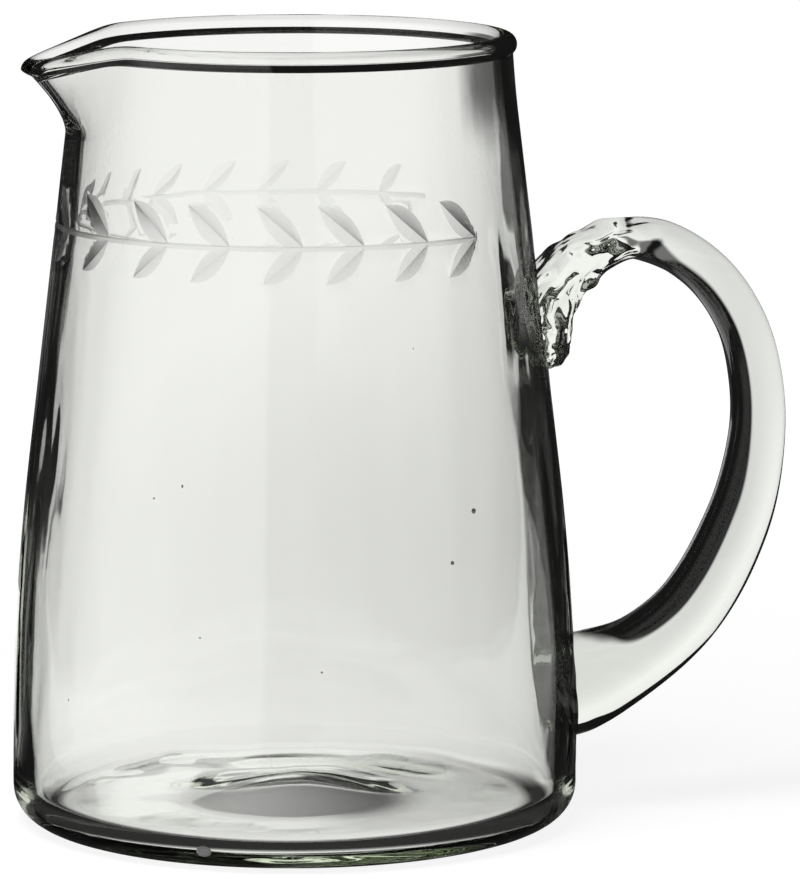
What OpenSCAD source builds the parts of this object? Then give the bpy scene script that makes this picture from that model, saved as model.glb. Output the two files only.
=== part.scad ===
// Clear glass cocktail pitcher: a blown body with a pulled spout, and an applied handle.
// It stands on its foot at Z 0 with its axis on Z, the handle towards +X and the spout towards -X.

/* [Wall] */
// height from the table to the top of the rim
body_height = 200; // [180:1:236]
// outside diameter of the wall where it is widest
belly_d = 143.6; // [118:0.2:166]
// height of the widest point above the table
belly_height = 14; // [12:0.5:20]
// outside diameter that the straight part of the wall runs to at the rim
neck_d = 109.2; // [92:0.2:126]
// height above which the wall runs straight
straight_height = 92; // [70:1:120]
// how far the end of the wall turns outwards below the rim
lip_flare = 0.6; // [0.2:0.1:1.4]
// height over which the wall turns outwards below the rim
lip_height = 18; // [12:1:22]
// wall thickness at the foot
wall_low = 5.2; // [4.4:0.1:6.4]
// wall thickness at the rim
wall_rim = 3.2; // [2.8:0.1:3.8]
// thickness of the rounded bead of the rim
bead_d = 5.4; // [4.8:0.1:6.2]

/* [Base] */
// radius of the outer edge between wall and foot
heel_r = 9; // [6:0.5:11]
// width of the flat ring that the pitcher stands on
foot_w = 5; // [3:0.5:8]
// rise of the underside inside the ring
hollow_height = 1; // [0.5:0.5:2.5]
// further rise of the pushed-up middle of the base
kick_height = 6; // [3:0.5:8]
// diameter of the pushed-up middle of the base
kick_d = 66; // [44:1:78]
// thickness of the base
base_thick = 5; // [4:0.5:8]
// radius inside, between floor and wall
floor_edge_r = 6; // [4:0.5:10]

/* [Spout] */
// how far the lip of the spout stands out beyond the rim
spout_reach = 12; // [8:0.5:15]
// how far the lip of the spout lies below the rim
spout_droop = 6; // [3:0.5:8]
// height of the rim above the place where the spout leaves the wall
spout_depth = 22; // [20:0.5:28]
// half the angle of the rim that the spout takes up, in degrees
spout_half_angle = 41; // [34:1:48]
// curve of the underside of the spout: 1 is straight, more is hollow
spout_hollow = 1.45; // [1:0.05:1.7]
// narrowness of the lip of the spout: more is narrower
spout_pinch = 1.2; // [0.9:0.05:1.6]

/* [Handle] */
// distance from the wall to the middle of the grip
handle_reach = 52.2; // [44:0.2:62]
// height of the middle of the lower seat
handle_low = 33; // [30:0.5:36]
// height from the middle of the lower seat to the middle of the top bend
handle_rise = 114; // [108:0.5:118]
// thickness of the grip, seen from the side
handle_thick = 15; // [12:0.5:17]
// width of the grip across
handle_width = 20; // [16:0.5:24]

/* [Hidden] */
$fn = 144;
// how far a buried edge runs into the glass around it
seat = 1;
// how much thinner than the wall the buried edges of the spout are, on each side
seat_skin = 0.2;
// how far a cut runs past what it cuts
overrun = 2;
// numbers of steps on the curves
belly_steps = 14;
lip_steps = 6;
edge_steps = 8;
floor_steps = 24;
spout_turn_steps = 36;
spout_rise_steps = 8;
bead_steps = 6;
handle_bend_steps = 4;
handle_round_steps = 24;
tail_steps = 4;

// handle from the lower seat to the tail: shares of reach, rise, thickness and width
handle_shares = [
  [-0.142, -0.02, 1.87, 1.35],
  [0.064, 0, 1.77, 1.3],
  [0.283, 0.045, 1.43, 1.15],
  [0.494, 0.115, 1.29, 1.08],
  [0.652, 0.195, 1.24, 1.05],
  [0.794, 0.3, 1.2, 1.03],
  [0.916, 0.42, 1.12, 1],
  [1, 0.56, 1, 1],
  [1.022, 0.685, 0.95, 0.98],
  [0.984, 0.805, 0.9, 0.95],
  [0.858, 0.912, 0.87, 0.93],
  [0.664, 0.982, 0.83, 0.92],
  [0.466, 1, 0.79, 0.93],
  [0.254, 0.965, 0.865, 1.04],
  [0.102, 0.902, 1.05, 1.28],
  [0.015, 0.842, 1.045, 1.55],
  [-0.009, 0.778, 0.97, 1.5]
];

// middle of the rim bead, and the height at which the lip starts to turn outwards
bead_z = body_height - bead_d / 2;
lip_z = bead_z - lip_height;

// the belly curves in more and more and runs into the straight wall without a corner
belly_r = belly_d / 2;
curve_height = straight_height - belly_height;
wall_lean = (belly_d - neck_d) / (curve_height + 2 * (bead_z - straight_height));
straight_r = belly_r - wall_lean * curve_height / 2;

// outside radius and thickness of the wall at a height
function curve_r(z) = belly_r - wall_lean * pow(z - belly_height, 2) / curve_height / 2;
function cone_r(z) = straight_r - (z - straight_height) * wall_lean;
function flare_r(z) = z < lip_z ? 0 : lip_flare * pow((z - lip_z) / lip_height, 2);
function outer_r(z) = z < belly_height ? belly_r
  : z < straight_height ? curve_r(z)
  : cone_r(z) + flare_r(z);
function wall_at(z) = wall_low + (wall_rim - wall_low) * z / bead_z;
function inner_r(z) = outer_r(z) - wall_at(z);

// heights at which the wall is drawn, above a start
function wall_levels(start) = concat(
  [start],
  [for (i = [0 : belly_steps]) let (z = belly_height + curve_height * i / belly_steps)
    if (z > start) z],
  [for (i = [0 : lip_steps]) lip_z + lip_height * i / lip_steps]
);

// the underside and the floor are hollowed alike, and pushed up in the middle
foot_out_r = belly_r - heel_r;
foot_in_r = foot_out_r - foot_w;
floor_edge_z = base_thick + floor_edge_r;
floor_r = inner_r(floor_edge_z) - floor_edge_r;
kick_r = kick_d / 2;
function kick(r) = r < kick_r ? kick_height * (1 + cos(180 * r / kick_r)) / 2 : 0;
function hollow(r, edge) = hollow_height * (1 - pow(r / edge, 2));
function pushed_up(edge, lift) = [for (i = [0 : floor_steps]) let (r = edge * i / floor_steps)
  [r, lift + hollow(r, edge) + kick(r)]];

bead_r = outer_r(bead_z) - wall_rim / 2;

outer_outline = concat(
  [for (i = [edge_steps : -1 : 1]) let (q = 90 * i / edge_steps)
    [foot_out_r + heel_r * cos(q), heel_r - heel_r * sin(q)]],
  [for (z = wall_levels(heel_r)) [outer_r(z), z]]
);
underside = pushed_up(foot_in_r, 0);
inner_outline = concat(
  pushed_up(floor_r, base_thick),
  [for (i = [1 : edge_steps - 1]) let (q = 90 * i / edge_steps)
    [floor_r + floor_edge_r * sin(q), floor_edge_z - floor_edge_r * cos(q)]],
  [for (z = wall_levels(floor_edge_z)) [inner_r(z), z]]
);
function backwards(list) = [for (i = [len(list) - 1 : -1 : 0]) list[i]];

// spout: strength of the pull round the rim and up the wall, and the moved point of the wall
spout_z = bead_z - spout_depth;
window_z = spout_z - seat;
function pull(a) = abs(a) >= spout_half_angle ? 0
  : pow((1 + cos(180 * a / spout_half_angle)) / 2, spout_pinch);
function climb(z) = max(0, min(1, (z - spout_z) / spout_depth));
function pulled(p, a) = let (
    r = p[0] + spout_reach * pull(a) * pow(climb(p[1]), spout_hollow),
    z = p[1] - spout_droop * pull(a) * climb(p[1])
  ) [-r * cos(a), -r * sin(a), z];

// section of the spout wall, up the outside, over the bead and down the inside
bead_in_r = bead_d / 2 - seat_skin;
crease = acos((wall_rim / 2 - seat_skin) / bead_in_r);
crease_z = bead_z - bead_in_r * sin(crease);
spout_bottom_z = window_z - seat;
spout_levels = [for (i = [0 : spout_rise_steps - 1])
  spout_bottom_z + (crease_z - spout_bottom_z) * i / spout_rise_steps];
bead_turns = [for (i = [0 : bead_steps - 1]) -crease + (90 + crease) * i / bead_steps];
spout_outside = concat(
  [for (z = spout_levels) [outer_r(z) - seat_skin, z]],
  [for (q = bead_turns) [bead_r + bead_in_r * cos(q), bead_z + bead_in_r * sin(q)]]
);
spout_inside = concat(
  [for (z = spout_levels) [inner_r(z) + seat_skin, z]],
  [for (q = bead_turns) [bead_r - bead_in_r * cos(q), bead_z + bead_in_r * sin(q)]]
);
spout_section = concat(spout_outside, [[bead_r, bead_z + bead_in_r]], backwards(spout_inside));
seat_angle = seat / bead_r * 180 / PI;
spout_turns = concat(
  [-spout_half_angle - seat_angle],
  [for (i = [0 : spout_turn_steps]) spout_half_angle * (2 * i / spout_turn_steps - 1)],
  [spout_half_angle + seat_angle]
);

// handle: smooth curve through the rows of the table, laid off from the wall
handle_rows = [for (s = handle_shares) let (z = handle_low + s[1] * handle_rise)
  [outer_r(z) + s[0] * handle_reach, z, s[2] * handle_thick, s[3] * handle_width]];
function row(i) = handle_rows[max(0, min(len(handle_rows) - 1, i))];
function between(i, u) = (2 * row(i) + (row(i + 1) - row(i - 1)) * u
  + (2 * row(i - 1) - 5 * row(i) + 4 * row(i + 1) - row(i + 2)) * pow(u, 2)
  + (3 * row(i) - row(i - 1) - 3 * row(i + 1) + row(i + 2)) * pow(u, 3)) / 2;
handle_last = (len(handle_rows) - 1) * handle_bend_steps;
function along(k) = let (i = min(floor(k / handle_bend_steps), len(handle_rows) - 2))
  between(i, k / handle_bend_steps - i);
function heading(k) = let (
    a = along(max(0, k - 1)),
    b = along(min(handle_last, k + 1)),
    d = [b[0] - a[0], b[1] - a[1]]
  ) d / norm(d);
// one oval ring of the handle: its row, its heading, its size as a share, its step on along the heading
function oval(s, t, size, on) = [for (i = [0 : handle_round_steps - 1])
  let (q = 360 * i / handle_round_steps, out = size * s[2] / 2 * cos(q), side = size * s[3] / 2 * sin(q))
  [s[0] + t[1] * out + t[0] * on, side, s[1] - t[0] * out + t[1] * on]];
tail_row = along(handle_last);
tail_heading = heading(handle_last);
tail_half = tail_row[2] / 2;
handle_rings = concat(
  [for (k = [0 : handle_last]) oval(along(k), heading(k), 1, 0)],
  [for (i = [1 : tail_steps]) let (q = 90 * i / (tail_steps + 1))
    oval(tail_row, tail_heading, cos(q), tail_half * sin(q))]
);
function flat_list(lists) = [for (list = lists) for (p = list) p];

// the solid that fills the outside of the body
module body_filled() {
  rotate_extrude()
    polygon(concat([[0, 0]], outer_outline, [[0, bead_z]]));
}

// wall, base and rim as one turned shape
module turned_body() {
  rotate_extrude() {
    polygon(concat(underside, outer_outline, backwards(inner_outline)));
    translate([bead_r, bead_z])
      circle(d = bead_d);
  }
}

// the part of the wall that the spout takes the place of
module spout_window() {
  translate([0, 0, window_z])
    linear_extrude(body_height - window_z + overrun)
      polygon([
        [0, 0],
        [-belly_d * cos(spout_half_angle), -belly_d * sin(spout_half_angle)],
        [-belly_d * cos(spout_half_angle), belly_d * sin(spout_half_angle)]
      ]);
}

// the stretch of wall and rim that is pulled out into the spout
module spout() {
  turns = len(spout_turns);
  loop = len(spout_section);
  rungs = len(spout_outside);
  points = [for (a = spout_turns) for (p = spout_section) pulled(p, a)];
  sides = [for (n = [0 : turns - 2]) for (m = [0 : loop - 1])
    let (up = (m + 1) % loop, here = n * loop, next = (n + 1) * loop)
    each [[here + m, here + up, next + up], [here + m, next + up, next + m]]];
  first_end = [for (j = [0 : rungs - 1]) each j == rungs - 1
    ? [[rungs, j, loop - 1 - j]]
    : [[j + 1, j, loop - 1 - j], [j + 1, loop - 1 - j, loop - 2 - j]]];
  shift = (turns - 1) * loop;
  last_end = [for (f = first_end) [shift + f[0], shift + f[2], shift + f[1]]];
  polyhedron(points, concat(sides, first_end, last_end));
}

// the strap of the handle with its lower end inside the wall and its rounded tail
module strap() {
  rings = len(handle_rings);
  round = handle_round_steps;
  start = along(0);
  points = concat(
    flat_list(handle_rings),
    [[start[0], 0, start[1]]],
    [[tail_row[0] + tail_heading[0] * tail_half, 0, tail_row[1] + tail_heading[1] * tail_half]]
  );
  sides = [for (n = [0 : rings - 2]) for (m = [0 : round - 1])
    let (side = (m + 1) % round, here = n * round, next = (n + 1) * round)
    each [[here + m, next + m, next + side], [here + m, next + side, here + side]]];
  root_end = [for (m = [0 : round - 1]) [rings * round, m, (m + 1) % round]];
  tail_end = [for (m = [0 : round - 1])
    [rings * round + 1, (rings - 1) * round + (m + 1) % round, (rings - 1) * round + m]];
  polyhedron(points, concat(sides, root_end, tail_end));
}

module glass_body() {
  color("#dfe8e4")
    union() {
      difference() {
        turned_body();
        spout_window();
      }
      spout();
    }
}

module handle() {
  color("#d3dfda")
    difference() {
      strap();
      body_filled();
    }
}

glass_body();
handle();
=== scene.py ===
import math

import bpy
from mathutils import Matrix, Vector


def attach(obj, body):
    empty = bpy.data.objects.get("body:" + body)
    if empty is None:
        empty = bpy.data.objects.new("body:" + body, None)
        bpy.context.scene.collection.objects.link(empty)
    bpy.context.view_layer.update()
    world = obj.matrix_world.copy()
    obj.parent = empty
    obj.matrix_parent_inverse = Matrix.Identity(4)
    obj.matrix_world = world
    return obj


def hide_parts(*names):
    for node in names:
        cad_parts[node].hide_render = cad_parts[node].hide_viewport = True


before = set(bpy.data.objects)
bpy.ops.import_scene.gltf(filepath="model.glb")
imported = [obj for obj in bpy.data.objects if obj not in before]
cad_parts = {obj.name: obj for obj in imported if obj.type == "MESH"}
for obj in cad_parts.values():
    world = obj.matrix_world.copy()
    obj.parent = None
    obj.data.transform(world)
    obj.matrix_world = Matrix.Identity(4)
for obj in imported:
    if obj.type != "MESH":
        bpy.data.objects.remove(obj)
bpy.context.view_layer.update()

MM = 0.001


# Working habits

def take(piece):
    """Pick one object and make it the active one."""
    bpy.ops.object.select_all(action="DESELECT")
    piece.select_set(True)
    bpy.context.view_layer.objects.active = piece
    return piece


def edit(piece):
    take(piece)
    bpy.ops.object.mode_set(mode="EDIT")
    bpy.ops.mesh.select_all(action="SELECT")


def done():
    bpy.ops.object.mode_set(mode="OBJECT")
    return bpy.context.view_layer.objects.active


def apply(piece, modifier):
    take(piece)
    bpy.ops.object.modifier_apply(modifier=modifier.name)


def rest(piece):
    """Put place, turn and size into the mesh."""
    take(piece)
    bpy.ops.object.transform_apply(location=True, rotation=True, scale=True)
    return piece


def tidy_skin():
    """In edit mode: weld the seam and turn the skin outwards."""
    bpy.ops.mesh.select_all(action="SELECT")
    bpy.ops.mesh.remove_doubles(threshold=0.01 * MM)
    bpy.ops.mesh.normals_make_consistent(inside=False)


def turn_on_lathe(name, outline, steps, angle=math.tau, start=0.0):
    """Draw an outline of (radius, height) in millimetres, vertex by vertex, and spin it round the axis."""
    bpy.ops.object.select_all(action="DESELECT")
    bpy.ops.mesh.primitive_plane_add(size=1 * MM)
    piece = bpy.context.active_object
    piece.name = name
    edit(piece)
    bpy.ops.mesh.merge(type="CENTER")
    r, z = outline[0]
    bpy.ops.transform.translate(value=(r * MM * math.cos(start), r * MM * math.sin(start), z * MM))
    for (r0, z0), (r1, z1) in zip(outline, outline[1:]):
        step = ((r1 - r0) * MM * math.cos(start), (r1 - r0) * MM * math.sin(start), (z1 - z0) * MM)
        bpy.ops.mesh.extrude_vertices_move(TRANSFORM_OT_translate={"value": step})
    bpy.ops.mesh.select_all(action="SELECT")
    bpy.ops.mesh.spin(steps=steps, angle=angle, center=(0, 0, 0), axis=(0, 0, 1))
    tidy_skin()
    return done()


def weigh(piece, name, share):
    """A vertex group whose weights come from share(x, y, z) in millimetres; gives back its name."""
    group = piece.vertex_groups.new(name=name)
    for v in piece.data.vertices:
        w = share(v.co.x / MM, v.co.y / MM, v.co.z / MM)
        if w > 0:
            group.add([v.index], min(1.0, w), "REPLACE")
    return name


def push(piece, group, direction, amount):
    """Push the weighted vertices along an axis, by an amount in millimetres."""
    move = piece.modifiers.new("push", "DISPLACE")
    move.direction = direction
    move.vertex_group = group
    move.mid_level = 0
    move.strength = amount * MM
    apply(piece, move)


def ripple(piece, group, sizes, depth):
    """Uneven hot-worked skin: soft waves of a size on each axis and a depth, in millimetres."""
    bpy.ops.object.empty_add()
    guide = bpy.context.active_object
    guide.scale = [size * MM for size in sizes]
    bpy.context.view_layer.update()
    waves = bpy.data.textures.new("waves", "CLOUDS")
    waves.noise_scale = 1
    waves.noise_depth = 1
    move = piece.modifiers.new("ripple", "DISPLACE")
    move.texture = waves
    move.texture_coords = "OBJECT"
    move.texture_coords_object = guide
    move.direction = "NORMAL"
    move.vertex_group = group
    move.mid_level = 0.5
    move.strength = depth * MM
    apply(piece, move)
    bpy.data.objects.remove(guide)
    piece.vertex_groups.clear()


def copy_of(piece, name):
    take(piece)
    bpy.ops.object.duplicate()
    twin = bpy.context.active_object
    twin.name = name
    return twin


def join(pieces, name):
    bpy.ops.object.select_all(action="DESELECT")
    for p in pieces:
        p.select_set(True)
    bpy.context.view_layer.objects.active = pieces[0]
    bpy.ops.object.join()
    whole = bpy.context.active_object
    whole.name = name
    return rest(whole)


def ease(x, low, high):
    t = max(0.0, min(1.0, (x - low) / (high - low)))
    return t * t * (3 - 2 * t)


# Glass body

height = 200.0
belly_r, belly_z = 71.8, 14.0
neck_r, straight_z = 54.6, 92.0
bead_half, lip_flare = 2.7, 0.6
bead_z = height - bead_half
wall_low, wall_rim = 5.2, 3.2
heel_r, foot_w = 9.0, 5.0
hollow, kick, kick_inside, kick_r = 1.0, 6.0, 4.2, 33.0
base_thick, floor_edge = 5.0, 6.0
flare_rise, skin_depth = 18, 1.5
lean = 2 * (belly_r - neck_r) / (2 * bead_z - straight_z - belly_z)


def outer_r(z):
    curved = max(0.0, min(z, straight_z) - belly_z)
    flare = max(0.0, (z - bead_z + flare_rise) / flare_rise)
    return (belly_r - lean * curved * curved / 2 / (straight_z - belly_z) - lean * max(0.0, z - straight_z)
            + lip_flare * flare * flare)


def wall_at(z):
    return wall_low + (wall_rim - wall_low) * z / bead_z


def inner_r(z):
    return outer_r(z) - wall_at(z)


def stretch(a, b, n):
    return [a + (b - a) * i / n for i in range(n + 1)]


bead_r = outer_r(bead_z) - wall_rim / 2
crease = math.acos(wall_rim / 2 / bead_half)
crease_z = bead_z - bead_half * math.sin(crease)
spout_depth, spout_reach, spout_droop = 22.0, 12.0, 6.0
spout_root = bead_z - spout_depth
spout_half = math.radians(41)
spout_round, spout_curl = 1.2, 1.45
spout_steps, wall_steps = 110, 140
foot_out = belly_r - heel_r
foot_in = foot_out - foot_w
floor_z = base_thick + floor_edge
floor_r = inner_r(floor_z) - floor_edge


def dome(r, edge, lift):
    """Height of the hollowed and pushed-up base; lift is 0 underneath and the base's thickness inside."""
    top = kick_inside if lift else kick
    pushed_up = top * (1 + math.cos(math.pi * r / kick_r)) / 2 if r < kick_r else 0.0
    return lift + hollow * (1 - (r / edge) ** 2) + pushed_up


outline = [(r, dome(r, foot_in, 0)) for r in stretch(0, foot_in, 40)]
outline += [
    (foot_out + heel_r * math.sin(q), heel_r - heel_r * math.cos(q))
    for q in stretch(0, math.pi / 2, 12)
]
outline += [
    (outer_r(z), z)
    for z in stretch(heel_r, spout_root, 44)[1:] + stretch(spout_root, crease_z, 22)[1:]
]
outline += [
    (bead_r + bead_half * math.cos(q), bead_z + bead_half * math.sin(q))
    for q in stretch(-crease, math.pi + crease, 36)[1:-1]
]
outline += [
    (inner_r(z), z)
    for z in stretch(crease_z, spout_root, 22) + stretch(spout_root, floor_z, 48)[1:]
]
outline += [
    (floor_r + floor_edge * math.cos(q), floor_z - floor_edge * math.sin(q))
    for q in stretch(0, math.pi / 2, 12)[1:]
]
outline += [(r, dome(r, floor_r, base_thick)) for r in stretch(floor_r, 0, 44)[1:]]

spout_side = turn_on_lathe("spout_side", outline, spout_steps, 2 * spout_half, math.pi + spout_half)
body = turn_on_lathe("pitcher_body", outline, wall_steps, math.tau - 2 * spout_half, math.pi - spout_half)
body = join([body, spout_side], "pitcher_body")
edit(body)
tidy_skin()
body = done()


def inside_wall(x, y, z):
    """The inner face of the wall, from above the floor's edge, with less of it near the rim."""
    r = math.hypot(x, y)
    if r > outer_r(z) - skin_depth:
        return 0.0
    return ease(z, 14, 40) * (1 - 0.8 * ease(z, 150, 192))


def inside_floor(x, y, z):
    """The upper face of the base, inside the floor's rounded edge."""
    r = math.hypot(x, y)
    if r >= floor_r or not dome(r, floor_r, base_thick / 2) < z < 20:
        return 0.0
    return 1 - ease(r, 52, 62)


ripple(body, weigh(body, "inside_wall", inside_wall), (34, 34, 100), 0.9)
ripple(body, weigh(body, "inside_streaks", inside_wall), (9, 9, 70), 0.25)
ripple(body, weigh(body, "inside_floor", inside_floor), (30, 30, 30), 1.0)


def around_seats(x, y, z):
    """The skin of the wall that the hot handle pulled about."""
    if x < 40 or math.hypot(x, y) < outer_r(z) - skin_depth:
        return 0.0
    upper = (1 - ease(abs(y), 16, 30)) * ease(z, 108, 118) * (1 - ease(z, 140, 150))
    lower = (1 - ease(abs(y), 14, 24)) * ease(z, 10, 18) * (1 - ease(z, 44, 54))
    return max(upper, lower)


ripple(body, weigh(body, "around_seats", around_seats), (7, 7, 11), 1.0)


def spout_pull(x, y, z):
    """How far the hot rim was drawn out: most at the tip of the spout, none at its root and sides."""
    turn = abs(math.atan2(y, -x))
    if turn >= spout_half or z < spout_root:
        return 0.0
    around = ((1 + math.cos(math.pi * turn / spout_half)) / 2) ** spout_round
    return around * min(1.0, (z - spout_root) / (bead_z - spout_root))


pull = weigh(body, "pull", lambda x, y, z: spout_pull(x, y, z) ** spout_curl)
droop = weigh(body, "droop", spout_pull)
push(body, pull, "X", -spout_reach)
push(body, droop, "Z", -spout_droop)


# Garland cutters

stem_z = 153.0
stem_start, stem_end, stem_steps = 44.0, -222.0, 150
stem_deep, stem_over, stem_up, stem_down = 0.2, 0.5, 2.3, 2.1
back_from = -80
leaf_places = [
    43.5, 28.5, 12, -2.5, -19.8, -35.6, -54, -73,
    -90, -107, -120, -132, -145.5, -160.5, -175, -190, -206.5,
]
leaf_lean = math.radians(41)
wheel_r, wheel_deep, wheel_keep = 80.0, 1.7, 1.5
wheel_steps, wheel_arc = 72, 40
rib_half, rib_base = 0.13, 0.03


def cutting_wheel(name, slope, ridge):
    """The edge of a cutting wheel, lying along X, its cutting line down, with a fine ridge for the midrib."""
    section = [
        (wheel_r - wheel_deep, -wheel_deep * slope), (wheel_r - rib_base, -rib_half), (wheel_r + ridge, 0),
        (wheel_r - rib_base, rib_half), (wheel_r - wheel_deep, wheel_deep * slope),
    ]
    arc_start = math.radians(wheel_arc / 2 - 90)
    wheel = turn_on_lathe(name, section, wheel_steps, math.radians(wheel_arc), arc_start)
    wheel.rotation_euler = (math.pi / 2, 0, 0)
    wheel.location = (0, 0, wheel_r * MM)
    rest(wheel)
    edit(wheel)
    bpy.ops.mesh.bisect(
        plane_co=(0, 0, wheel_keep * MM), plane_no=(0, 0, 1), use_fill=True, clear_outer=True)
    tidy_skin()
    return done()


def place_cut(piece, turn, z, tilt, depth):
    """Lay a cutter on the wall: turn runs from the front to the right, tilt is its angle up from the stem."""
    out = Vector((math.sin(turn), -math.cos(turn), 0))
    right = Vector((math.cos(turn), math.sin(turn), 0))
    up = (Vector((0, 0, 1)) - out * lean).normalized()
    normal = right.cross(up).normalized()
    along = right * math.cos(tilt) + up * math.sin(tilt)
    across = normal.cross(along)
    at = out * outer_r(z) * MM + Vector((0, 0, z * MM)) - normal * depth * MM
    piece.matrix_world = Matrix((
        (along.x, across.x, normal.x, at.x),
        (along.y, across.y, normal.y, at.y),
        (along.z, across.z, normal.z, at.z),
        (0, 0, 0, 1)))
    bpy.context.view_layer.update()


wheels = [
    cutting_wheel("upper_wheel", 5.2, 0.05),
    cutting_wheel("lower_wheel", 5.6, 0.02),
    cutting_wheel("back_wheel", 5.4, 0.0),
]
leaf_halves = (7.5, 6.7, 6.1)
depth_share = 0.011
upper, lower, leaf_frames = [], [], []
for place in leaf_places:
    turn = math.radians(place)
    for side, cuts in ((1, upper), (-1, lower)):
        kind = 2 if place < back_from else 0 if side == 1 else 1
        leaf_half = leaf_halves[kind]
        leaf_depth = depth_share * leaf_half ** 2
        cut = copy_of(wheels[kind], "leaf_cut")
        z = stem_z + side * leaf_half * math.sin(leaf_lean)
        back = leaf_half * math.cos(leaf_lean) / outer_r(z)
        place_cut(cut, turn - back, z, math.pi - side * leaf_lean, leaf_depth)
        leaf_frames.append(cut.matrix_world.inverted())
        cuts.append(cut)
upper = join(upper, "upper_leaf_cuts")
lower = join(lower, "lower_leaf_cuts")
for wheel in wheels:
    take(wheel)
    bpy.ops.object.delete()

stem_r = outer_r(stem_z)
groove = [
    (stem_r - stem_deep, stem_z), (stem_r + stem_over, stem_z + stem_up),
    (stem_r + stem_over, stem_z - stem_down), (stem_r - stem_deep, stem_z),
]
stem_arc, arc_start = math.radians(stem_end - stem_start), math.radians(stem_end - 90)
stem = turn_on_lathe("stem_cut", groove, stem_steps, stem_arc, arc_start)
edit(stem)
bpy.ops.mesh.select_all(action="DESELECT")
bpy.ops.mesh.select_non_manifold()
bpy.ops.mesh.fill_holes(sides=0)
tidy_skin()
stem = done()


# Handle

# Places and sizes along the handle, from its lower seat to its tail: out, up, thickness, width
handle_rows = [
    (64.0, 31.0, 28.0, 27.0), (75.0, 33.0, 26.5, 26.0), (86.1, 38.1, 21.5, 23.0),
    (96.8, 46.1, 19.4, 21.6), (104.5, 55.2, 18.6, 21.0), (111.1, 67.2, 18.0, 20.6),
    (116.2, 80.9, 16.8, 20.0), (118.8, 96.8, 15.0, 20.0), (118.2, 111.1, 14.3, 19.6),
    (114.6, 124.8, 13.5, 19.0), (106.6, 137.0, 13.0, 18.6), (95.5, 145.0, 12.4, 18.4),
    (85.0, 147.0, 11.8, 18.6), (74.3, 143.0, 13.0, 20.8), (67.3, 135.8, 15.8, 25.6),
    (63.5, 129.0, 15.7, 31.0), (63.1, 121.7, 14.5, 30.0),
]
ring_sides, row_steps, tail_rings = 32, 4, 6


def smooth_row(rows, u):
    """A row of sizes on the smooth curve through the rows."""
    i = min(int(u), len(rows) - 2)
    t = u - i
    a, b, c, d = (rows[max(0, min(len(rows) - 1, i + k))] for k in (-1, 0, 1, 2))
    return [
        (2 * q + (r - p) * t + (2 * p - 5 * q + 4 * r - s) * t * t + (3 * q - p - 3 * r + s) * t ** 3) / 2
        for p, q, r, s in zip(a, b, c, d)
    ]


def draw_strap(name, rows, steps):
    """Extrude an oval ring from row to row, turning it with the curve, and round off its tail."""
    last = (len(rows) - 1) * steps
    stations = [smooth_row(rows, k / steps) for k in range(last + 1)]
    headings = []
    for k in range(last + 1):
        a, b = stations[max(0, k - 1)], stations[min(last, k + 1)]
        headings.append(math.atan2(b[1] - a[1], b[0] - a[0]))
    tail, tail_turn = stations[-1], headings[-1]
    for i in range(1, tail_rings):
        q = math.pi / 2 * i / tail_rings
        on = tail[2] / 2 * math.sin(q)
        stations.append([tail[0] + on * math.cos(tail_turn), tail[1] + on * math.sin(tail_turn),
                         tail[2] * math.cos(q), tail[3] * math.cos(q)])
        headings.append(tail_turn)
    bpy.ops.object.select_all(action="DESELECT")
    x, z, thick, wide = stations[0]
    bpy.ops.mesh.primitive_circle_add(
        vertices=ring_sides, radius=1 * MM, fill_type="NGON", rotation=(0, math.pi / 2, 0))
    piece = bpy.context.active_object
    piece.name = name
    rest(piece)
    edit(piece)
    bpy.ops.transform.resize(value=(1, wide / 2, thick / 2), center_override=(0, 0, 0))
    bpy.ops.transform.rotate(value=-headings[0], orient_axis="Y", center_override=(0, 0, 0))
    bpy.ops.transform.translate(value=(x * MM, 0, z * MM))
    for k in range(1, len(stations)):
        (x0, z0, t0, w0), (x1, z1, t1, w1) = stations[k - 1], stations[k]
        middle = (x1 * MM, 0, z1 * MM)
        bpy.ops.mesh.extrude_region_move(
            TRANSFORM_OT_translate={"value": ((x1 - x0) * MM, 0, (z1 - z0) * MM)})
        bpy.ops.transform.rotate(value=headings[k] - headings[k - 1], orient_axis="Y", center_override=middle)
        bpy.ops.transform.resize(value=(t1 / t0, w1 / w0, t1 / t0), center_override=middle)
    tidy_skin()
    return done()


handle = draw_strap("pitcher_handle", handle_rows, row_steps)

seat_depth, core_low, core_high = 0.8, 4, 190
core_rows, core_steps = 60, 192
core_wall = [(outer_r(z) - seat_depth, z) for z in stretch(core_low, core_high, core_rows)]
core = turn_on_lathe("body_core", [(0, 0)] + core_wall + [(0, core_high)], core_steps)


def cut_away(piece, cutter, operation="DIFFERENCE"):
    cut = piece.modifiers.new("cut", "BOOLEAN")
    cut.operation = operation
    cut.solver = "EXACT"
    cut.object = cutter
    cut.material_mode = "TRANSFER"
    apply(piece, cut)
    bpy.data.objects.remove(cutter)


round_off = handle.modifiers.new("round_off", "SUBSURF")
round_off.levels = round_off.render_levels = 2
apply(handle, round_off)


def folded_end(x, y, z):
    """The upper end, where the soft strap was folded back and pressed to the wall."""
    return ease(z, 110, 118) * (1 - ease(x, 80, 100))


def arm_end(x, y, z):
    """The end of the arm, which twisted as it was folded."""
    return ease(z, 130, 136) * ease(x, 64, 70) * (1 - ease(x, 84, 96))


def pressed_foot(x, y, z):
    """The end of the tail, which was pressed on with a tool."""
    return ease(z, 108, 112) * (1 - ease(z, 124, 132)) * (1 - ease(x, 72, 78))


def lower_seat(x, y, z):
    """The thick lower end, where the gather was set on the wall."""
    return (1 - ease(x, 74, 84)) * (1 - ease(z, 46, 52))


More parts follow.
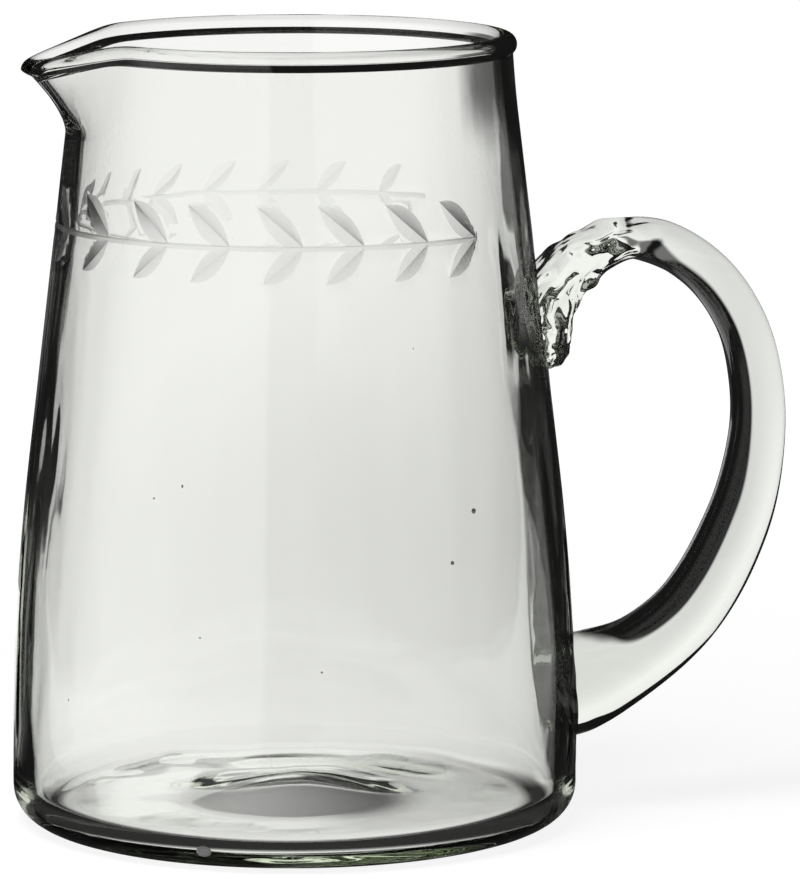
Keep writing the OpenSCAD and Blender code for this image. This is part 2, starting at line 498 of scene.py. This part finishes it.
ripple(handle, weigh(handle, "twist", arm_end), (16, 7, 9), 4.0)
ripple(handle, weigh(handle, "folds", folded_end), (10, 8, 10), 2.6)
ripple(handle, weigh(handle, "wrinkles", folded_end), (18, 2.6, 18), 0.9)
ripple(handle, weigh(handle, "tool_marks", pressed_foot), (2.4, 2.4, 2.4), 0.8)
ripple(handle, weigh(handle, "lower_seat", lower_seat), (9, 9, 9), 0.5)
cut_away(handle, core)


# Glass

class Sums:
    """Sums and blends among the nodes of one material or world."""

    def __init__(self, tree):
        self.nodes, self.links = tree.nodes, tree.links

    def feed(self, socket, value):
        if isinstance(value, (int, float)):
            socket.default_value = value
        else:
            self.links.new(value, socket)

    def of(self, operation, *values):
        n = self.nodes.new("ShaderNodeMath")
        n.operation = operation
        for socket, value in zip(n.inputs, values):
            self.feed(socket, value)
        return n.outputs[0]

    def fade(self, value, low, high, start, end):
        n = self.nodes.new("ShaderNodeMapRange")
        n.interpolation_type = "SMOOTHSTEP"
        names = ("Value", "From Min", "From Max", "To Min", "To Max")
        for name, v in zip(names, (value, low, high, start, end)):
            self.feed(n.inputs[name], v)
        return n.outputs["Result"]

    def blend(self, share, a, b):
        n = self.nodes.new("ShaderNodeMix")
        n.data_type = "FLOAT"
        for socket, value in ((n.inputs[0], share), (n.inputs[2], a), (n.inputs[3], b)):
            self.feed(socket, value)
        return n.outputs[0]


barb_slant, barb_spread, barb_pitch, barb_waver = -0.42, 0.9, 17, 4
frost_level, frost_barb = 0.42, 0.09
scuff_around, scuff_out, scuff_level = 34, 70, 0.2
tint, tint_density = (0.81, 0.90, 0.68, 1), 9


def glass(name):
    """Clear glass with a faint tint in its depth, frosted where it is cut and scuffed where it stands."""
    m = bpy.data.materials.new(name)
    m.use_nodes = True
    nodes, links = m.node_tree.nodes, m.node_tree.links
    sums = Sums(m.node_tree)
    skin = nodes["Principled BSDF"]
    skin.inputs["Base Color"].default_value = (0.998, 1, 0.99, 1)
    skin.inputs["IOR"].default_value = 1.5
    skin.inputs["Transmission Weight"].default_value = 1
    place = nodes.new("ShaderNodeTexCoord")
    noise = nodes.new("ShaderNodeTexNoise")
    noise.inputs["Scale"].default_value = 60
    noise.inputs["Detail"].default_value = 2
    links.new(place.outputs["Object"], noise.inputs["Vector"])
    waves = nodes.new("ShaderNodeBump")
    waves.inputs["Strength"].default_value = 0.1
    waves.inputs["Distance"].default_value = 0.0003
    links.new(noise.outputs["Fac"], waves.inputs["Height"])

    cut = nodes.new("ShaderNodeAttribute")
    cut.attribute_name = "cut"
    leaf = nodes.new("ShaderNodeAttribute")
    leaf.attribute_name = "leaf_place"
    split = nodes.new("ShaderNodeSeparateXYZ")
    links.new(leaf.outputs["Vector"], split.inputs[0])
    along, across, on_leaf = split.outputs
    spread = sums.of("MULTIPLY", sums.of("ABSOLUTE", across), barb_spread)
    barb = sums.of("MULTIPLY", sums.of("MULTIPLY_ADD", along, barb_slant, spread), barb_pitch)
    barb = sums.of("SINE", sums.of("MULTIPLY_ADD", noise.outputs["Fac"], barb_waver, barb))
    barb = sums.of("MULTIPLY", barb, on_leaf)
    barbs = nodes.new("ShaderNodeBump")
    barbs.inputs["Strength"].default_value = 0.2
    barbs.inputs["Distance"].default_value = 0.0001
    links.new(barb, barbs.inputs["Height"])
    links.new(waves.outputs["Normal"], barbs.inputs["Normal"])
    links.new(barbs.outputs["Normal"], skin.inputs["Normal"])

    worn = nodes.new("ShaderNodeAttribute")
    worn.attribute_name = "worn"
    split = nodes.new("ShaderNodeSeparateXYZ")
    links.new(place.outputs["Object"], split.inputs[0])
    x, y, _ = split.outputs
    rays = nodes.new("ShaderNodeCombineXYZ")
    links.new(sums.of("MULTIPLY", sums.of("ARCTAN2", y, x), scuff_around), rays.inputs[0])
    far = nodes.new("ShaderNodeVectorMath")
    far.operation = "LENGTH"
    links.new(place.outputs["Object"], far.inputs[0])
    links.new(sums.of("MULTIPLY", far.outputs["Value"], scuff_out), rays.inputs[1])
    scratch = nodes.new("ShaderNodeTexNoise")
    scratch.inputs["Scale"].default_value = 1
    scratch.inputs["Detail"].default_value = 4
    links.new(rays.outputs[0], scratch.inputs["Vector"])
    scuff = sums.fade(scratch.outputs["Fac"], 0.56, 0.74, 0, scuff_level)
    scuff = sums.of("MULTIPLY", scuff, worn.outputs["Fac"])
    frost = sums.of("MULTIPLY", cut.outputs["Fac"], sums.of("MULTIPLY_ADD", barb, frost_barb, frost_level))
    links.new(sums.of("MAXIMUM", frost, scuff), skin.inputs["Roughness"])

    depth = nodes.new("ShaderNodeVolumeAbsorption")
    depth.inputs["Color"].default_value = tint
    depth.inputs["Density"].default_value = tint_density
    links.new(depth.outputs["Volume"], nodes["Material Output"].inputs["Volume"])
    return m


body_glass = glass("clear_blown_glass")
handle_glass = glass("clear_handle_glass")

body.data.materials.append(body_glass)
handle.data.materials.clear()
handle.data.materials.append(handle_glass)
frosted = bpy.data.materials.new("frosted_leaf")
grooved = bpy.data.materials.new("frosted_stem")
for cutter, finish in ((stem, grooved), (upper, frosted), (lower, frosted)):
    cutter.data.materials.append(finish)
    cut_away(body, cutter)
finishes = [m.name for m in body.data.materials]

# Bubbles in the glass: degrees from the front to the right, place up, depth under the skin, width, height
bubble_flat = 1.4
bubbles = [
    (36.5, 86.5, 2.0, 1.25, 1.35), (30.0, 74.5, 2.2, 1.0, 1.0), (-29.5, 94.5, 1.8, 0.5, 0.8),
    (0.5, 50.0, 2.0, 0.5, 0.5), (-24.0, 5.2, 3.4, 3.8, 2.6), (64.0, 131.0, 1.6, 0.4, 0.6),
    (-58.0, 38.0, 2.4, 0.4, 0.5), (104.0, 66.0, 2.0, 0.5, 0.6), (143.0, 112.0, 1.7, 0.3, 0.5),
    (-150.0, 72.0, 2.1, 0.4, 0.6), (-112.0, 55.0, 2.3, 0.5, 0.7), (196.0, 33.0, 2.5, 0.4, 0.4),
]
bpy.ops.object.select_all(action="DESELECT")
bpy.ops.mesh.primitive_uv_sphere_add(segments=20, ring_count=14, radius=0.5 * MM)
bubble = bpy.context.active_object
edit(bubble)
bpy.ops.mesh.flip_normals()
done()
shut_in = [body]
for place, z, deep, wide, tall in bubbles:
    turn = math.radians(place)
    skin = outer_r(z) if z > heel_r else foot_out + math.sqrt(heel_r ** 2 - (heel_r - z) ** 2)
    one = copy_of(bubble, "bubble")
    one.scale = (wide, min(wide, bubble_flat), tall)
    one.rotation_euler = (0, 0, turn)
    one.location = ((skin - deep) * MM * math.sin(turn), -(skin - deep) * MM * math.cos(turn), z * MM)
    shut_in.append(rest(one))
take(bubble)
bpy.ops.object.delete()

marks = body.data.attributes
marks.new("cut", "FLOAT", "FACE")
marks.new("worn", "FLOAT", "FACE")
marks.new("leaf_place", "FLOAT_VECTOR", "CORNER")
cut_mark, worn_mark, leaf_mark = marks["cut"], marks["worn"], marks["leaf_place"]
for face in body.data.polygons:
    finish = finishes[face.material_index]
    face.material_index = 0
    cut_mark.data[face.index].value = float(finish != body_glass.name)
    worn_mark.data[face.index].value = float(face.center.z < heel_r * MM and face.normal.z < -0.5)
    if finish == frosted.name:
        frame_of = min(leaf_frames, key=lambda f: (f @ face.center).length)
        for corner_shade in face.loop_indices:
            at = frame_of @ body.data.vertices[body.data.loops[corner_shade].vertex_index].co
            leaf_mark.data[corner_shade].vector = (at.x / MM, at.y / MM, 1)
while len(body.data.materials) > 1:
    body.data.materials.pop()
body = join(shut_in, "pitcher_body")

for piece in (body, handle):
    take(piece)
    bpy.ops.object.shade_smooth_by_angle(angle=math.radians(28))

for piece, node, slot in ((body, "glass_body", "body_glass"), (handle, "handle", "handle_glass")):
    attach(piece, "root")
    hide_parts(node)


# Studio

dark = 0.008
view_distance = 1.55
box_level, box_start, box_end = 0.55, (15.5, 18.5), (85, 110)
card_out, card_top, card_wide = 0.35, 0.21, 0.44
table_r, table_drop = 3, 0.0002
side_white, side_edge, side_top = 0.9, (0.25, 0.29), (0.15, 0.25)
sheet_left, sheet_right = (0.055, 0.26), (0.075, 0.31)
white, edge_fall, card_rise = 0.90, 1.5, 0.20
# The part of the front sheet that reflections show: fades at its left, right, lower and upper end
card_strip = ((-0.08, -0.05), (0.03, 0.07), (0.05, 0.06), (0.115, 0.13))
table_strip = ((-9, -8), (0.03, 0.06), (-2, -1), (1, 2))
off_strip = 0.08
# Painted shade: the dimmer upper right corner of the glowing card
corner_x, corner_z, corner_shade_level = (0.105, 0.13), (0.128, 0.15), 0.2


def painted_light_sheets(sums, vector, sheets, rise, strip):
    """Glowing sheets of painted light behind the pitcher, one for each side it is looked at from, on a dark
    ground.

    Each widens outwards from the axis, ends at its reach, and gets less bright to the right and downwards, a
    painted fall of light.
    Reflections in the glass show only a strip of the front one.
    """
    split = sums.nodes.new("ShaderNodeSeparateXYZ")
    sums.links.new(vector, split.inputs[0])
    x, y, z = split.outputs
    paths = sums.nodes.new("ShaderNodeLightPath")
    straight = sums.fade(paths.outputs["Glossy Depth"], 0, 1, 1, 0)
    whole = dark
    for turn, reach in sheets:
        px, py = math.sin(math.radians(turn)), math.cos(math.radians(turn))
        out = sums.of("MULTIPLY_ADD", x, px, sums.of("MULTIPLY", y, py))
        across = sums.of("MULTIPLY_ADD", x, py, sums.of("MULTIPLY", y, -px))
        left_edge = sums.of("MULTIPLY_ADD", out, sheet_left[1], sheet_left[0])
        right_edge = sums.of("MULTIPLY_ADD", out, sheet_right[1], sheet_right[0])
        past_left = sums.of("SUBTRACT", sums.of("MULTIPLY", across, -1), left_edge)
        past_right = sums.of("SUBTRACT", across, right_edge)
        past = sums.of("DIVIDE", sums.of("MAXIMUM", past_left, past_right), sums.of("MAXIMUM", out, 0.15))
        sheet = sums.of("MULTIPLY", sums.fade(past, -0.03, 0.03, 1, 0), sums.fade(out, -0.02, 0.02, 0, 1))
        sheet = sums.of("MULTIPLY", sheet, sums.fade(out, reach, reach * 1.2, 1, 0))
        seen_across = sums.of("DIVIDE", across, sums.of("MULTIPLY_ADD", out, 1 / view_distance, 1))
        # Painted fall of light: the sheet's glow drops to the right and grows upwards
        level = sums.of("MULTIPLY_ADD", seen_across, -edge_fall, white)
        level = sums.of("ADD", level, sums.fade(z, 0, 0.15, 0, rise))
        level = sums.of("MINIMUM", sums.of("MAXIMUM", level, 0.5), 1)
        if turn:
            level = sums.of("MULTIPLY", level, straight)
        else:
            left, right, low, high = strip
            wide = sums.of("MULTIPLY", sums.fade(x, *left, off_strip, 1), sums.fade(x, *right, 1, off_strip))
            tall = sums.of("MULTIPLY", sums.fade(z, *low, off_strip, 1), sums.fade(z, *high, 1, off_strip))
            level = sums.of("MULTIPLY", level, sums.of("MAXIMUM", straight, sums.of("MULTIPLY", wide, tall)))
            # Painted shade: a dimmer upper right corner on the front sheet
            corner_shade = sums.blend(sums.fade(x, *corner_x, 0, 1), 1, sums.fade(z, *corner_z, 1, corner_shade_level))
            level = sums.of("MULTIPLY", level, corner_shade)
        whole = sums.of("MAXIMUM", whole, sums.of("MULTIPLY", sheet, level))
    return whole, x, y


def soft_box(sums, vector):
    """A wide soft light to the left of the one who looks, from which the near wall has its faint sheen."""
    split = sums.nodes.new("ShaderNodeSeparateXYZ")
    sums.links.new(vector, split.inputs[0])
    x, y, _ = split.outputs
    turn = sums.of("ARCTAN2", sums.of("MULTIPLY", x, -1), sums.of("MULTIPLY", y, -1))
    wide = sums.of("MULTIPLY", sums.fade(turn, *map(math.radians, box_start), 0, 1),
                   sums.fade(turn, *map(math.radians, box_end), 1, 0))
    return sums.of("MULTIPLY", wide, box_level)


world = bpy.data.worlds.new("studio")
bpy.context.scene.world = world
world.use_nodes = True
tree = world.node_tree
tree.nodes.clear()
sums = Sums(tree)
paths = tree.nodes.new("ShaderNodeLightPath")
sky = tree.nodes.new("ShaderNodeBackground")
sky.inputs["Color"].default_value = (1, 1, 1, 1)
place = tree.nodes.new("ShaderNodeTexCoord")
box = soft_box(sums, place.outputs["Generated"])
box = sums.of("MULTIPLY", box, sums.fade(paths.outputs["Is Diffuse Ray"], 0, 1, 1, 0))
# The white wall that stands past the spout, for one who looks from the handle's side
split = tree.nodes.new("ShaderNodeSeparateXYZ")
tree.links.new(place.outputs["Generated"], split.inputs[0])
x, y, z = split.outputs
spout_out = sums.of("MAXIMUM", sums.of("MULTIPLY", x, -1), 0.05)
side_wall = sums.fade(sums.of("DIVIDE", sums.of("ABSOLUTE", y), spout_out), *side_edge, side_white, 0)
side_wall = sums.of("MULTIPLY", side_wall, sums.fade(z, *side_top, 1, 0))
side_wall = sums.of("MULTIPLY", side_wall, sums.fade(paths.outputs["Glossy Depth"], 0, 1, 1, 0))
around = sums.of("MAXIMUM", sums.of("MAXIMUM", box, side_wall), dark)
tree.links.new(sums.blend(paths.outputs["Is Camera Ray"], around, 1), sky.inputs["Strength"])
out = tree.nodes.new("ShaderNodeOutputWorld")
tree.links.new(sky.outputs["Background"], out.inputs["Surface"])

# A glowing card of painted light that stands behind the pitcher; only the glass shows it
bpy.ops.object.select_all(action="DESELECT")
bpy.ops.mesh.primitive_plane_add(size=1, rotation=(math.pi / 2, 0, 0))
card = rest(bpy.context.active_object)
card.name = "back_card"
edit(card)
bpy.ops.transform.resize(value=(card_wide, 1, card_top), center_override=(0, 0, 0))
bpy.ops.transform.translate(value=(0, card_out, card_top / 2))
done()
card.visible_camera = card.visible_diffuse = card.visible_shadow = False
board = bpy.data.materials.new("back_card")
board.use_nodes = True
card.data.materials.append(board)
tree = board.node_tree
tree.nodes.clear()
sums = Sums(tree)
place = tree.nodes.new("ShaderNodeTexCoord")
sheet, _, _ = painted_light_sheets(sums, place.outputs["Object"], ((0, 9),), card_rise, card_strip)
glow = tree.nodes.new("ShaderNodeEmission")
tree.links.new(sheet, glow.inputs["Strength"])
out = tree.nodes.new("ShaderNodeOutputMaterial")
tree.links.new(glow.outputs["Emission"], out.inputs["Surface"])

# The table, with glowing sheets of painted light on it and painted shade under the foot, which the camera
# does not see
bpy.ops.object.select_all(action="DESELECT")
bpy.ops.mesh.primitive_circle_add(
    vertices=128, radius=table_r, fill_type="NGON", location=(0, 0, -table_drop))
floor = bpy.context.active_object
floor.name = "table"
table = bpy.data.materials.new("white_table")
table.use_nodes = True
floor.data.materials.append(table)
tree = table.node_tree
tree.nodes.clear()
sums = Sums(tree)
place = tree.nodes.new("ShaderNodeTexCoord")
length = tree.nodes.new("ShaderNodeVectorMath")
length.operation = "LENGTH"
tree.links.new(place.outputs["Object"], length.inputs[0])
# The glowing sheets of painted light on the table: which way each lies from the axis, in degrees, and how far
# it reaches, in metres
table_sheets = ((0, 9), (-90, 9), (-45, 0.7), (135, 1.4))
# Painted shade under the pitcher, from the axis outwards: a darker spot under the lens, the foot's dark ring
# on the near half and the open table
lens_shade_ring, foot_shade_ring, table_ring = (0.022, 0.036), (0.057, 0.062), (0.068, 0.076)
lens_shade_span, lens_shade_left, lens_shade_right, foot_shade_level = (-0.025, 0.03), 0.55, 0.16, 0.03
panel, x, y = painted_light_sheets(sums, place.outputs["Object"], table_sheets, 0, table_strip)
far = length.outputs["Value"]
# Painted light: the soft box glows on the table away from the foot
box = sums.of("MULTIPLY", soft_box(sums, place.outputs["Object"]), sums.fade(far, 0.13, 0.25, 0, 1))
panel = sums.of("MAXIMUM", panel, box)
# Painted shade: a dark ring under the foot on the near half, and a darker spot under the lens, lighter on the
# left
rim_shade = sums.of("MAXIMUM", sums.fade(far, *foot_shade_ring, 1, foot_shade_level), sums.fade(y, 0, 0.04, 0, 1))
shade = sums.fade(x, *lens_shade_span, lens_shade_left, lens_shade_right)
under = sums.of("MULTIPLY", sums.blend(sums.fade(far, *lens_shade_ring, 1, 0), 1, shade), rim_shade)
panel = sums.blend(sums.fade(far, *table_ring, 1, 0), panel, under)
paths = tree.nodes.new("ShaderNodeLightPath")
shown = tree.nodes.new("ShaderNodeEmission")
tree.links.new(panel, shown.inputs["Strength"])
glow = tree.nodes.new("ShaderNodeEmission")
tree.links.new(sums.fade(far, 0.2, 0.7, 0.88, 1), glow.inputs["Strength"])
paper = tree.nodes.new("ShaderNodeBsdfDiffuse")
paper.inputs["Color"].default_value = (0.3, 0.3, 0.3, 1)
lit = tree.nodes.new("ShaderNodeAddShader")
tree.links.new(glow.outputs["Emission"], lit.inputs[0])
tree.links.new(paper.outputs["BSDF"], lit.inputs[1])
sheet = tree.nodes.new("ShaderNodeMixShader")
tree.links.new(paths.outputs["Is Camera Ray"], sheet.inputs["Fac"])
tree.links.new(shown.outputs["Emission"], sheet.inputs[1])
tree.links.new(lit.outputs["Shader"], sheet.inputs[2])
out = tree.nodes.new("ShaderNodeOutputMaterial")
tree.links.new(sheet.outputs["Shader"], out.inputs["Surface"])

bpy.ops.object.light_add(type="AREA", location=(-0.3, -0.4, 1.2))
lamp = bpy.context.active_object
lamp.data.shape = "DISK"
lamp.data.size = 0.7
lamp.data.energy = 8
lamp.visible_glossy = False
lamp.visible_transmission = False
lamp.rotation_euler = (-lamp.location).to_track_quat("-Z", "Y").to_euler()


# Camera

side = math.radians(-5)
right = Vector((math.cos(side), math.sin(side), 0))
camera_data = bpy.data.cameras.new("camera")
camera = bpy.data.objects.new("camera", camera_data)
bpy.context.scene.collection.objects.link(camera)
bpy.context.scene.camera = camera
camera_data.lens = 253.8
camera_data.sensor_width = 36
camera_data.clip_end = 20
camera_out, camera_up = 1.547, 0.339
aim_right, aim_up = 0.0269, 0.097
camera.location = Vector((math.sin(side) * camera_out, -math.cos(side) * camera_out, camera_up))
aim = right * aim_right + Vector((0, 0, aim_up))
camera.rotation_euler = (aim - camera.location).to_track_quat("-Z", "Y").to_euler()

scene = bpy.context.scene
scene.view_settings.view_transform = "Standard"
scene.cycles.max_bounces = 24
scene.cycles.transmission_bounces = 24
scene.cycles.glossy_bounces = 12
